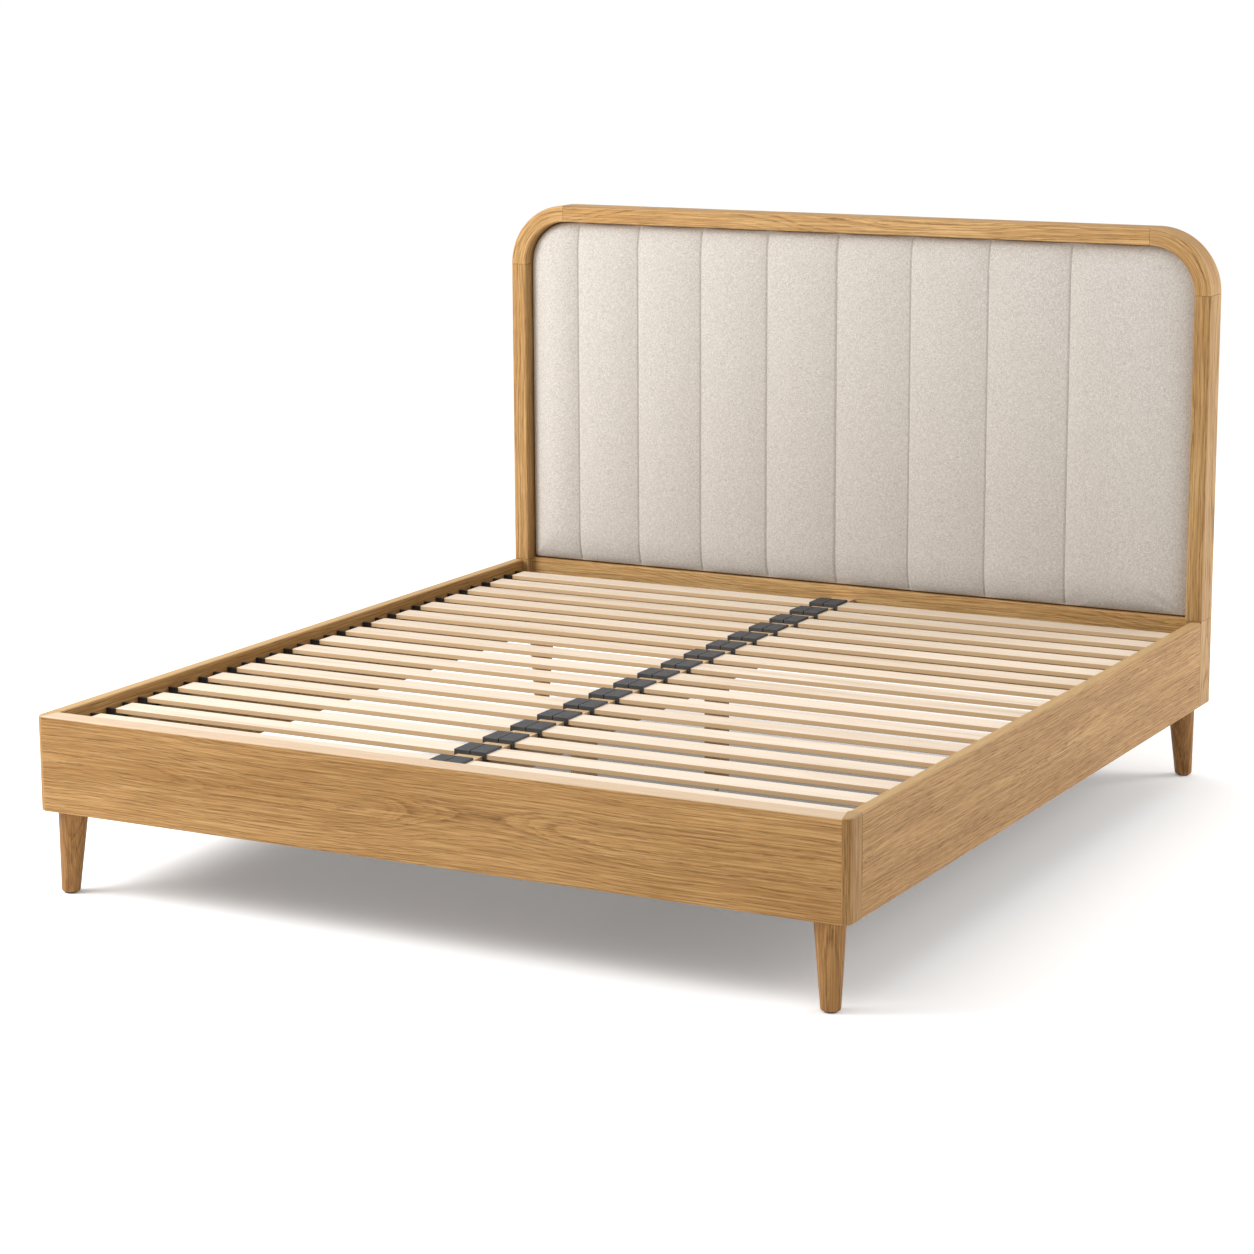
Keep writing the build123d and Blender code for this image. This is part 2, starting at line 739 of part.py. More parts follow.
def build_nodes():
    """Every sub-part by name."""
    blank = footboard_blank()
    wedge = mitre_wedge()
    arch = head_arch()
    foot_fixings = hanger_screws("front")
    all_screws = hanger_screws("front") + hanger_screws("back")
    centre_bolts = {place: centre_bolt(y) for place, y in CENTRE_LEG_YS.items()}
    nodes = {}
    for side in SIDES:
        into_foot, into_rail = angle_screws(side)
        foot_fixings = foot_fixings + into_foot
        all_screws = all_screws + into_foot + into_rail
        nodes[f"foot_corner_{side}"] = foot_corner(blank, wedge, side)
        nodes[f"side_rail_{side}"] = side_rail(side, into_rail)
        nodes[f"cleat_{side}"] = cleat(side)
        nodes[f"slat_holders_{side}"] = slat_holders(side)
        nodes[f"head_upright_{side}"] = head_upright(arch, side)
        nodes[f"head_corner_{side}"] = head_corner(arch, side)
        nodes[f"head_post_{side}"] = head_post(side, hook_slots(side))
        nodes[f"rail_hook_{side}"] = rail_hook(side)
        for end in ENDS:
            nodes[f"leg_{end}_{side}"] = corner_leg(end, side)
    nodes["footboard_panel"] = footboard_panel(blank, wedge, foot_fixings)
    nodes["head_top_rail"] = head_top_rail(arch)
    nodes["head_cross_rail"] = head_cross_rail()
    nodes["head_lower_panel"] = head_lower_panel(hanger_screws("back"))
    nodes["headboard_backing"] = headboard_backing()
    nodes["headboard_pad"] = headboard_pad()
    nodes["centre_beam"] = centre_beam(centre_bolts.values())
    nodes["slat_caps"] = slat_caps()
    corners = [(end, side) for end in ENDS for side in SIDES]
    nodes["leg_blocks"] = together([drilled_block(*corner) for corner in corners])
    nodes["leg_bolts"] = together([leg_bolt(*corner) for corner in corners])
    nodes["leg_glides"] = together([leg_glide(*corner) for corner in corners])
    nodes["beam_hanger_foot"] = beam_hanger("front")
    nodes["beam_hanger_head"] = beam_hanger("back")
    nodes["corner_angles"] = together([corner_angle(side) for side in SIDES])
    nodes["wood_screws"] = together(all_screws)
    nodes["centre_leg_bolts"] = together(centre_bolts.values())
    nodes["foot_inserts"] = together([foot_insert(y) for y in CENTRE_LEG_YS.values()])
    for place, y in CENTRE_LEG_YS.items():
        nodes[f"centre_leg_{place}"] = centre_leg(y, centre_bolts[place])
        nodes[f"foot_stud_{place}"] = foot_stud(y)
        nodes[f"foot_pad_{place}"] = foot_pad(y)
    for row, y in enumerate(ROW_YS, start=1):
        nodes[f"slat_row_{row:02d}"] = slat_row(y)
    return nodes


os.makedirs("parts", exist_ok=True)
for name, shape in build_nodes().items():
    shape.label = name
    export_step(shape, f"parts/{name}.step")
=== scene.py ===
import math

import bpy
import numpy as np
from mathutils import Matrix, Vector


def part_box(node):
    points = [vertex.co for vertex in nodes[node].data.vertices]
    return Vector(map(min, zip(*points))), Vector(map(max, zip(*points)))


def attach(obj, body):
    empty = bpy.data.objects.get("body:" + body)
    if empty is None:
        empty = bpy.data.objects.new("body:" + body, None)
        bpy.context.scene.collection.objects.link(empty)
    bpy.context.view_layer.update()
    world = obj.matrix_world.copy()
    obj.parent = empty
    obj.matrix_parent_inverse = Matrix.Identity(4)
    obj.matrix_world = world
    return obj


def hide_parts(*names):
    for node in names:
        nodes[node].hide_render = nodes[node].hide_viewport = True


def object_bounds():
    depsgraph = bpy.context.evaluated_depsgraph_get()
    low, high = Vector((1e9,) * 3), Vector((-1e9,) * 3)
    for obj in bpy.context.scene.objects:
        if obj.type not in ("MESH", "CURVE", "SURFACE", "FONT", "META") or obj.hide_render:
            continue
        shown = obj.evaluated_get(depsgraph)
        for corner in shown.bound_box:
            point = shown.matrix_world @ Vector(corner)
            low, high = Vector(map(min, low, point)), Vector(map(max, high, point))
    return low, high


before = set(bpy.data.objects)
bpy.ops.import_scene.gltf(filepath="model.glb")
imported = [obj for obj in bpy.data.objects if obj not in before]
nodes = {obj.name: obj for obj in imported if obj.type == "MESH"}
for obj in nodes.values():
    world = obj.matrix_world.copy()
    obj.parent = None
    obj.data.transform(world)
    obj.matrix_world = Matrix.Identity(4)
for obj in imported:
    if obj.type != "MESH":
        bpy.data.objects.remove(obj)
cad_low, cad_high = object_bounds()
bpy.ops.object.select_all(action="DESELECT")


# ---------------------------------------------------------------- footboard
# The footboard is one wide plain-sawn oak board with mitred ends, oiled satin.
# A solid corner block with upright grain is glued to each mitre, and its outside
# is rounded over. A paler band along the top edges is a painted sheen of the
# overhead light. Boards differ in tone, and those on the right are darker, partly
# their own tone and partly painted shade for light falling off to the right.
TURN = math.pi / 2
GRAIN_TURNS = {"X": (0, 0, 0), "Y": (0, 0, -TURN), "Z": (0, TURN, 0)}
OAK = {
    "light": (0.73, 0.450, 0.185),
    "warm": (0.60, 0.335, 0.115),
    "line": (0.23, 0.095, 0.024),
    "pore": (0.11, 0.042, 0.010),
    "pale": (0.86, 0.610, 0.330),
    "ring": 0.0044,
    "wander": 0.085,
    "line_share": 0.50,
    "streak_share": 0.33,
    "pore_share": 0.50,
    "pale_share": 0.30,
    "roughness": 0.45,
    "gloss": 0.2,
    "painted_top_sheen": None,
}
RING_PROFILE = [(0, 0.55), (0.10, 1.0), (0.34, 0.55), (0.62, 0.12), (0.90, 0.0), (1, 0.55)]
BASE_OAK = dict(OAK, light=(0.66, 0.375, 0.135), warm=(0.52, 0.275, 0.085), pale=(0.78, 0.52, 0.25))
PANEL_OAK = dict(BASE_OAK, painted_top_sheen=(0.92, 0.71, 0.51))
RAIL_OAK = dict(BASE_OAK, painted_top_sheen=(0.66, 0.43, 0.20))
PAINTED_SHEEN_DEPTH = 0.0035
WOOD_RELIEF = 0.00025


def add(tree, kind, inputs, **settings):
    """One shader node, its inputs given as values or as other nodes' outputs."""
    made = tree.nodes.new("ShaderNode" + kind)
    for name, value in settings.items():
        setattr(made, name, value)
    for name, value in inputs.items():
        if isinstance(value, bpy.types.NodeSocket):
            tree.links.new(value, made.inputs[name])
        else:
            made.inputs[name].default_value = value
    return made


def maths(tree, operation, *values):
    return add(tree, "Math", dict(enumerate(values)), operation=operation).outputs[0]


def vectors(tree, operation, *values):
    made = add(tree, "VectorMath", dict(enumerate(values)), operation=operation)
    return made.outputs["Value" if operation == "LENGTH" else "Vector"]


def noise(tree, place, stretch, detail=2.0, seed=0.0):
    """Noise with its own scale along each axis; returns the noise node."""
    stretched = vectors(tree, "MULTIPLY_ADD", place, stretch, (seed, seed * 1.7, seed * 0.6))
    return add(tree, "TexNoise", {"Vector": stretched, "Scale": 1.0, "Detail": detail})


def ramp(tree, factor, stops):
    """Grey curve through (place, value) stops."""
    made = add(tree, "ValToRGB", {"Fac": factor})
    elements = made.color_ramp.elements
    for place, _ in stops[1:-1]:
        elements.new(place)
    elements[0].position = stops[0][0]
    elements[-1].position = stops[-1][0]
    for element, (_, value) in zip(elements, stops):
        element.color = (value, value, value, 1)
    return made.outputs["Color"]


def blend_colours(tree, factor, first, second, blend_type="MIX"):
    first, second = [(*c, 1) if isinstance(c, tuple) else c for c in (first, second)]
    made = add(
        tree, "Mix", {0: factor, 6: first, 7: second}, data_type="RGBA", blend_type=blend_type
    )
    return made.outputs[2]


def new_material(name):
    """A material, its node tree and its shader."""
    material = bpy.data.materials.new(name)
    material.use_nodes = True
    tree = material.node_tree
    return material, tree, tree.nodes["Principled BSDF"]


def finish_material(tree, shader, colour, roughness, height, depth, strength=1.0):
    """Joins colour, roughness and relief to the shader; depth is in metres."""
    tree.links.new(colour, shader.inputs["Base Color"])
    tree.links.new(roughness, shader.inputs["Roughness"])
    bump = add(tree, "Bump", {"Height": height, "Distance": depth, "Strength": strength})
    tree.links.new(bump.outputs["Normal"], shader.inputs["Normal"])


def straight_grain(tree, centre, run, heart):
    """Places in a straight board: X along the grain, YZ from the tree's heart."""
    place = add(tree, "TexCoord", {}).outputs["Object"]
    local = vectors(tree, "SUBTRACT", place, centre)
    turned = add(
        tree,
        "Mapping",
        {"Vector": local, "Rotation": GRAIN_TURNS[run], "Location": (0, -heart[0], -heart[1])},
    )
    return turned.outputs["Vector"]


def timber(name, grain_maker, look, seed, tone=1.0, top=0.0):
    """Wood with rings round a wandering heart, pores, fibres and a painted top sheen."""
    material, tree, shader = new_material(name)
    grain = grain_maker(tree)
    wander = noise(tree, grain, (1.5, 0.8, 0.8), 1.0, seed).outputs["Color"]
    ripple = noise(tree, grain, (9, 20, 20), 3.0, seed).outputs["Color"]
    fray = noise(tree, grain, (55, 280, 280), 2.0, seed).outputs["Color"]
    swing = look["wander"]
    wander = vectors(tree, "MULTIPLY_ADD", wander, (0, swing, swing), (0, -swing / 2, -swing / 2))
    ripple = vectors(tree, "MULTIPLY_ADD", ripple, (0, 0.008, 0.008), (0, -0.004, -0.004))
    fray = vectors(tree, "MULTIPLY_ADD", fray, (0, 0.0026, 0.0026), (0, -0.0013, -0.0013))
    bent = vectors(tree, "MULTIPLY_ADD", grain, (0, 1, 1), wander)
    bent = vectors(tree, "ADD", vectors(tree, "ADD", bent, ripple), fray)
    years = maths(tree, "DIVIDE", vectors(tree, "LENGTH", bent), look["ring"])
    growth = {"W": years, "Scale": 0.35, "Detail": 1.0}
    uneven = add(tree, "TexNoise", growth, noise_dimensions="1D").outputs[0]
    years = maths(tree, "MULTIPLY_ADD", uneven, 4.0, years)
    part = maths(tree, "FRACT", years)
    line = ramp(tree, part, RING_PROFILE)
    year = maths(tree, "FLOOR", maths(tree, "ADD", years, 0.08))
    strength = add(tree, "TexWhiteNoise", {"W": year}, noise_dimensions="1D").outputs["Value"]
    line = maths(tree, "MULTIPLY", line, maths(tree, "MULTIPLY_ADD", strength, 0.75, 0.25))
    pores = noise(tree, grain, (20, 520, 520), 1.0, seed).outputs[0]
    pores = ramp(tree, pores, [(0.50, 0), (0.58, 1)])
    pores = maths(tree, "MULTIPLY", pores, maths(tree, "MULTIPLY_ADD", line, 0.75, 0.25))
    streaks = noise(tree, grain, (6, 400, 400), 2.0, seed + 3).outputs[0]
    dark_streaks = ramp(tree, streaks, [(0.47, 0), (0.60, 1)])
    pale_streaks = ramp(tree, streaks, [(0.34, 1), (0.43, 0)])
    fibres = noise(tree, grain, (12, 560, 560), 2.0, seed + 5).outputs[0]
    patches = noise(tree, grain, (1.6, 14, 14), 2.0, seed).outputs[0]
    patches = ramp(tree, patches, [(0.32, 0), (0.68, 1)])
    colour = blend_colours(tree, patches, look["light"], look["warm"])
    line_factor = maths(tree, "MULTIPLY", line, look["line_share"])
    colour = blend_colours(tree, line_factor, colour, look["line"])
    streak_factor = maths(tree, "MULTIPLY", dark_streaks, look["streak_share"])
    colour = blend_colours(tree, streak_factor, colour, look["line"])
    streak_factor = maths(tree, "MULTIPLY", pale_streaks, look["pale_share"])
    colour = blend_colours(tree, streak_factor, colour, look["pale"])
    pore_factor = maths(tree, "MULTIPLY", pores, look["pore_share"])
    colour = blend_colours(tree, pore_factor, colour, look["pore"])
    # A paler band along the board's top is a painted sheen of the overhead light.
    if look["painted_top_sheen"]:
        place = add(tree, "TexCoord", {}).outputs["Object"]
        height_here = add(tree, "SeparateXYZ", {"Vector": place}).outputs["Z"]
        below = maths(tree, "SUBTRACT", top, height_here)
        below = maths(tree, "DIVIDE", below, PAINTED_SHEEN_DEPTH)
        painted_top_sheen = ramp(tree, below, [(0.25, 0.8), (1, 0)])
        colour = blend_colours(tree, painted_top_sheen, colour, look["painted_top_sheen"])
    shade = ramp(tree, fibres, [(0.34, 0.84), (0.66, 1.0)])
    colour = blend_colours(tree, 1.0, colour, shade, "MULTIPLY")
    colour = blend_colours(tree, 1.0, colour, (tone, tone, tone), "MULTIPLY")
    roughness = maths(tree, "MULTIPLY_ADD", pores, 0.25, look["roughness"])
    height = maths(tree, "MULTIPLY_ADD", pores, -1.0, fibres)
    finish_material(tree, shader, colour, roughness, height, WOOD_RELIEF, 0.6)
    shader.inputs["Specular IOR Level"].default_value = look["gloss"]
    return material


def dress(node, material):
    """Gives a CAD node its finish."""
    for material_slot in nodes[node].material_slots:
        material_slot.material = material


def middle(node):
    low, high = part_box(node)
    return (low + high) / 2


def saw(node, run, heart, look=OAK, seed=0.0, tone=1.0):
    """Makes a node one straight board, heart metres off the log's centre; tone darkens it."""
    centre = middle(node)
    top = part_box(node)[1].z
    material = timber(
        node + "_wood", lambda tree: straight_grain(tree, centre, run, heart), look, seed, tone, top
    )
    dress(node, material)


# Tone darkens each board. The right corner block is darker than the left, partly its own tone and
# partly painted shade for light falling off to the right.
saw("footboard_panel", "X", (0.016, 0.004), PANEL_OAK, 1.0, 0.78)
saw("foot_corner_left", "Z", (0.03, 0.02), RAIL_OAK, 2.3, 0.83)
saw("foot_corner_right", "Z", (0.03, -0.02), RAIL_OAK, 3.1, 0.71)

# --------------------------------------------------------------- side rails
# Each side rail is a plain-sawn oak plank on edge, rounded along its top, that
# butts against the corner block in front with a fine groove between them. At the
# head end two steel hooks on it drop into slots in the headboard's post.
# The right rail is darker than the left, partly its own tone and partly painted shade.
saw("side_rail_left", "Y", (0.022, 0.01), RAIL_OAK, 4.4, 0.90)
saw("side_rail_right", "Y", (-0.022, 0.005), RAIL_OAK, 5.9, 0.82)

# ---------------------------------------------------------- headboard frame
# The headboard's frame is jointed from oak sections with 5 mm rounded edges:
# posts, uprights and a top rail with straight grain, and two quarter-round
# corners laminated so that the grain follows the bend. Fine lines mark the joints.
HEAD_RADIUS_MIDDLE = 0.1345


def curved_grain(tree, centre, heart):
    """Places in a quarter-round corner: X along the bend, Y outwards, Z in depth."""
    place = add(tree, "TexCoord", {}).outputs["Object"]
    local = vectors(tree, "SUBTRACT", place, centre)
    axes = add(tree, "SeparateXYZ", {"Vector": local}).outputs
    angle = maths(tree, "ARCTAN2", axes["Z"], axes["X"])
    along = maths(tree, "MULTIPLY", angle, HEAD_RADIUS_MIDDLE)
    outwards = vectors(tree, "LENGTH", vectors(tree, "MULTIPLY", local, (1, 0, 1)))
    outwards = maths(tree, "SUBTRACT", outwards, HEAD_RADIUS_MIDDLE + heart[0])
    depth = maths(tree, "SUBTRACT", axes["Y"], heart[1])
    made = add(tree, "CombineXYZ", {"X": along, "Y": outwards, "Z": depth})
    return made.outputs["Vector"]


# The right-hand post, upright and corner get lower tones than the left ones, partly their own tone
# and partly painted shade for light falling off to the right.
for side, sign in (("left", -1), ("right", 1)):
    saw(f"head_post_{side}", "Z", (0.02, 0.05 * sign), seed=6.2 + sign, tone=0.83 - 0.07 * sign)
    saw(f"head_upright_{side}", "Z", (0.03, 0.055 * sign), seed=8.5 + sign, tone=0.83 - 0.07 * sign)
    low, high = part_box(f"head_corner_{side}")
    inner_x = max(low.x, -high.x) * sign
    bend_centre = Vector((inner_x, (low.y + high.y) / 2, low.z))
    bent_oak = timber(
        f"head_corner_{side}_wood",
        lambda tree: curved_grain(tree, bend_centre, (0.05, 0.06)),
        OAK,
        10.2 + sign,
        0.90 - 0.05 * sign,
    )
    dress(f"head_corner_{side}", bent_oak)
saw("head_top_rail", "X", (0.02, 0.035), seed=12.1, tone=0.92)
saw("head_cross_rail", "X", (0.03, 0.05), seed=13.6)
saw("head_lower_panel", "X", (0.03, 0.0), seed=14.7)

# --------------------------------------------------------- plywood backing
# A 12 mm poplar plywood sheet closes the back of the frame and carries the pad.
# Its face veneer is rotary cut, with wide, faint, wavy figure running upright.
PLYWOOD = {
    "light": (0.62, 0.47, 0.31),
    "warm": (0.55, 0.40, 0.25),
    "line": (0.42, 0.28, 0.16),
    "pore": (0.36, 0.24, 0.14),
    "ring": 0.011,
    "wander": 0.085,
    "line_share": 0.40,
    "streak_share": 0.12,
    "pore_share": 0.25,
    "pale": (0.70, 0.56, 0.39),
    "pale_share": 0.2,
    "roughness": 0.62,
    "gloss": 0.3,
    "painted_top_sheen": None,
}
saw("headboard_backing", "Z", (0.045, 0.1), PLYWOOD, 15.3)

# ------------------------------------------------------------ headboard pad
# The pad is foam on board under an oatmeal linen-look cover, sewn from nine
# panels. Each seam is pulled back towards the board, so the panels swell between
# the seams and roll over the edges, with a narrow shadow gap to the oak all round.
VOXEL = 0.006
FIRST_CHANNEL = 0.145
CHANNEL = 0.175
CHANNEL_GROWTH = 0.006
SEAMS = 8
FRONT_START = 0.0085
SIDE_START = 0.0015
FOAM_CROWN = 0.0075
CROWN_POWER = 3.0
ROLL = 0.013
ROLL_WIDTH = 0.080
TOP_RADIUS = 0.112
SWELL = 0.0040
SEAM_DEPTH = 0.0026
SEAM_HALF_WIDTH = 0.0017
SEWN_DEPTH = 0.022
FRONT_FADE = 1.6
BACK_MARGIN = 0.001
MERGE_DISTANCE = 0.00002
STUFFING_FRAMES = 20
STUFFING_PRESSURE = 9
YARN_PITCH = 0.0017


def activate(obj):
    bpy.ops.object.select_all(action="DESELECT")
    obj.select_set(True)
    bpy.context.view_layer.objects.active = obj


def mesh_points(obj):
    points = np.zeros(len(obj.data.vertices) * 3)
    obj.data.vertices.foreach_get("co", points)
    return points.reshape(-1, 3)


def move_points(obj, points):
    obj.data.vertices.foreach_set("co", points.ravel())
    obj.data.update()


def seam_places(left_edge):
    """Where the seams are across the pad; the panels widen from left to right."""
    places = [left_edge + FIRST_CHANNEL]
    for number in range(SEAMS - 1):
        places.append(places[-1] + CHANNEL + CHANNEL_GROWTH * number)
    return places


def edge_distance(points, low, high):
    """How far each point is inside the pad's outline, seen from in front."""
    across = (high.x - low.x) / 2 - np.abs(points[:, 0] - (low.x + high.x) / 2)
    down = high.z - points[:, 2]
    straight = np.minimum(np.minimum(across, down), points[:, 2] - low.z)
    corner = np.hypot(TOP_RADIUS - across, TOP_RADIUS - down)
    in_corner = (across < TOP_RADIUS) & (down < TOP_RADIUS)
    return np.where(in_corner, np.minimum(TOP_RADIUS - corner, straight), straight)


def foam_blank(low, high):
    """The CAD pad in small squares, open at the back, each panel of its foam crowned."""
    pad = bpy.data.objects.new("pad_cover", nodes["headboard_pad"].data.copy())
    bpy.context.scene.collection.objects.link(pad)
    activate(pad)
    bpy.ops.object.mode_set(mode="EDIT")
    bpy.ops.mesh.select_all(action="SELECT")
    bpy.ops.mesh.remove_doubles(threshold=MERGE_DISTANCE)
    bpy.ops.object.mode_set(mode="OBJECT")
    remesh = pad.modifiers.new("squares", "REMESH")
    remesh.mode = "VOXEL"
    remesh.voxel_size = VOXEL
    bpy.ops.object.modifier_apply(modifier=remesh.name)
    points = mesh_points(pad)
    depth = (points[:, 1] - low.y) / (high.y - low.y)
    front = np.clip(1 - depth * FRONT_FADE, 0, 1)
    points[:, 1] += FRONT_START * front * front * (3 - 2 * front)
    edges = np.array([low.x] + seam_places(low.x) + [high.x])
    panel = np.clip(np.searchsorted(edges, points[:, 0]) - 1, 0, SEAMS)
    panel_left, panel_right = edges[panel], edges[panel + 1]
    off_middle = np.abs(2 * (points[:, 0] - panel_left) / (panel_right - panel_left) - 1)
    points[:, 1] -= FOAM_CROWN * front * (1 - np.clip(off_middle, 0, 1) ** CROWN_POWER)
    inwards = np.clip(edge_distance(points, low, high) / ROLL_WIDTH, 0, 1)
    points[:, 1] += ROLL * front * (1 - inwards) ** 2
    centre = np.array([(low.x + high.x) / 2, 0, (low.z + high.z) / 2])
    half = np.array([(high.x - low.x) / 2, 1, (high.z - low.z) / 2])
    points -= (points - centre) / half * np.array([SIDE_START, 0, SIDE_START])
    for place in seam_places(low.x):
        near = np.abs(points[:, 0] - place) < VOXEL * 0.5
        points[near, 0] = place
    move_points(pad, points)
    bpy.ops.object.mode_set(mode="EDIT")
    bpy.ops.mesh.select_all(action="DESELECT")
    bpy.ops.object.mode_set(mode="OBJECT")
    back = points[:, 1] > high.y - BACK_MARGIN
    for face in pad.data.polygons:
        face.select = all(back[v] for v in face.vertices)
    bpy.ops.object.mode_set(mode="EDIT")
    bpy.ops.mesh.delete(type="FACE")
    bpy.ops.object.mode_set(mode="OBJECT")
    return pad


def stuff(pad, low):
    """Swells the cover between its seams by cloth simulation, by SWELL at most."""
    start = mesh_points(pad)
    sewn = start[:, 1] > low.y + SEWN_DEPTH
    for place in seam_places(low.x):
        sewn |= np.abs(start[:, 0] - place) < 0.0002
    group = pad.vertex_groups.new(name="sewn")
    group.add(np.flatnonzero(sewn).tolist(), 1.0, "REPLACE")
    cloth = pad.modifiers.new("stuffing", "CLOTH")
    cloth.settings.quality = 6
    cloth.settings.mass = 0.3
    cloth.settings.tension_stiffness = 12
    cloth.settings.compression_stiffness = 12
    cloth.settings.shear_stiffness = 5
    cloth.settings.bending_stiffness = 0.6
    cloth.settings.use_pressure = True
    cloth.settings.uniform_pressure_force = STUFFING_PRESSURE
    cloth.settings.effector_weights.gravity = 0
    cloth.settings.vertex_group_mass = group.name
    cloth.point_cache.frame_start = 1
    cloth.point_cache.frame_end = STUFFING_FRAMES
    for number in range(1, STUFFING_FRAMES + 1):
        bpy.context.scene.frame_set(number)
    swollen = pad.evaluated_get(bpy.context.evaluated_depsgraph_get())
    moved = mesh_points(swollen) - start
    length = np.linalg.norm(moved, axis=1, keepdims=True) + 1e-9
    pad.modifiers.remove(cloth)
    pad.vertex_groups.remove(group)
    move_points(pad, start + moved * np.tanh(length / SWELL) * SWELL / length)
    bpy.context.scene.frame_set(1)


def close_back(pad):
    activate(pad)
    bpy.ops.object.mode_set(mode="EDIT")
    bpy.ops.mesh.select_all(action="DESELECT")
    bpy.ops.mesh.select_non_manifold()
    bpy.ops.mesh.edge_face_add()
    bpy.ops.mesh.select_all(action="SELECT")
    bpy.ops.mesh.normals_make_consistent(inside=False)
    bpy.ops.object.mode_set(mode="OBJECT")


def sew_seams(pad, low):
    """Cuts a fold line each side of a seam and pulls the seam itself in."""
    activate(pad)
    places = seam_places(low.x)
    bpy.ops.object.mode_set(mode="EDIT")
    for place in places:
        for side in (-1, 1):
            bpy.ops.mesh.select_all(action="SELECT")
            bpy.ops.mesh.bisect(
                plane_co=(place + side * SEAM_HALF_WIDTH, 0, 0), plane_no=(1, 0, 0)
            )
    bpy.ops.object.mode_set(mode="OBJECT")
    points = mesh_points(pad)
    front = points[:, 1] < low.y + SEWN_DEPTH
    for place in places:
        on_seam = front & (np.abs(points[:, 0] - place) < 0.0004)
        points[on_seam, 1] += SEAM_DEPTH
    move_points(pad, points)


def linen():
    """Plain weave of uneven oatmeal yarns, with slubs and a soft surface."""
    material, tree, shader = new_material("oatmeal_linen")
    place = add(tree, "TexCoord", {}).outputs["Object"]
    heather = noise(tree, place, (420, 420, 420), 2.0, 1.0).outputs[0]
    slubs_across = noise(tree, place, (150, 400, 800), 2.0, 2.0).outputs[0]
    slubs_up = noise(tree, place, (800, 400, 150), 2.0, 3.0).outputs[0]
    axes = add(tree, "SeparateXYZ", {"Vector": place}).outputs
    wobble = noise(tree, place, (90, 90, 90), 1.0, 4.0).outputs[0]
    yarn_frequency = 2 * math.pi / YARN_PITCH
    warp = maths(tree, "SINE", maths(tree, "MULTIPLY_ADD", axes["X"], yarn_frequency, wobble))
    weft = maths(tree, "SINE", maths(tree, "MULTIPLY_ADD", axes["Z"], yarn_frequency, wobble))
    weave = maths(tree, "MULTIPLY", warp, weft)
    yarns = maths(tree, "MULTIPLY_ADD", weave, 0.18, maths(tree, "ADD", slubs_across, slubs_up))
    tone = maths(tree, "MULTIPLY_ADD", heather, 0.8, yarns)
    factor = ramp(tree, maths(tree, "MULTIPLY", tone, 0.5), [(0.52, 0), (0.88, 1)])
    colour = blend_colours(tree, factor, (0.42, 0.380, 0.336), (0.71, 0.668, 0.620))
    rough = ramp(tree, heather, [(0.3, 0.84), (0.7, 0.95)])
    finish_material(tree, shader, colour, rough, yarns, 0.0004, 0.55)
    shader.inputs["Sheen Weight"].default_value = 0.25
    shader.inputs["Sheen Roughness"].default_value = 0.5
    shader.inputs["Sheen Tint"].default_value = (1.0, 0.97, 0.93, 1)
    shader.inputs["Specular IOR Level"].default_value = 0.25
    return material


pad_low, pad_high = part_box("headboard_pad")
pad_cover = foam_blank(pad_low, pad_high)
stuff(pad_cover, pad_low)
close_back(pad_cover)
sew_seams(pad_cover, pad_low)
activate(pad_cover)
bpy.ops.object.shade_smooth()
pad_cover.data.materials.clear()
pad_cover.data.materials.append(linen())
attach(pad_cover, "bed")
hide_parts("headboard_pad")

# -------------------------------------------------------------------- slats
# Thirty-four laminated birch slats, two to a row, sanded and unlacquered. The
# rotary-cut faces are cream with faint figure and a few brown streaks, and the
# glued plies show as fine lines along the edges. The sides are a deeper tan,
# partly the birch's own edge colour and partly painted shade.
ROWS = 17
SLAT_LIGHT = (0.80, 0.680, 0.550)
SLAT_WARM = (0.68, 0.545, 0.41)
SLAT_SIDE_TAN_AND_SHADE = (0.80, 0.520, 0.255)
SLAT_STREAK = (0.46, 0.31, 0.18)
SLAT_GLUE = (0.42, 0.27, 0.15)
PLY = 0.0014
EDGE_MARGIN = 0.0003


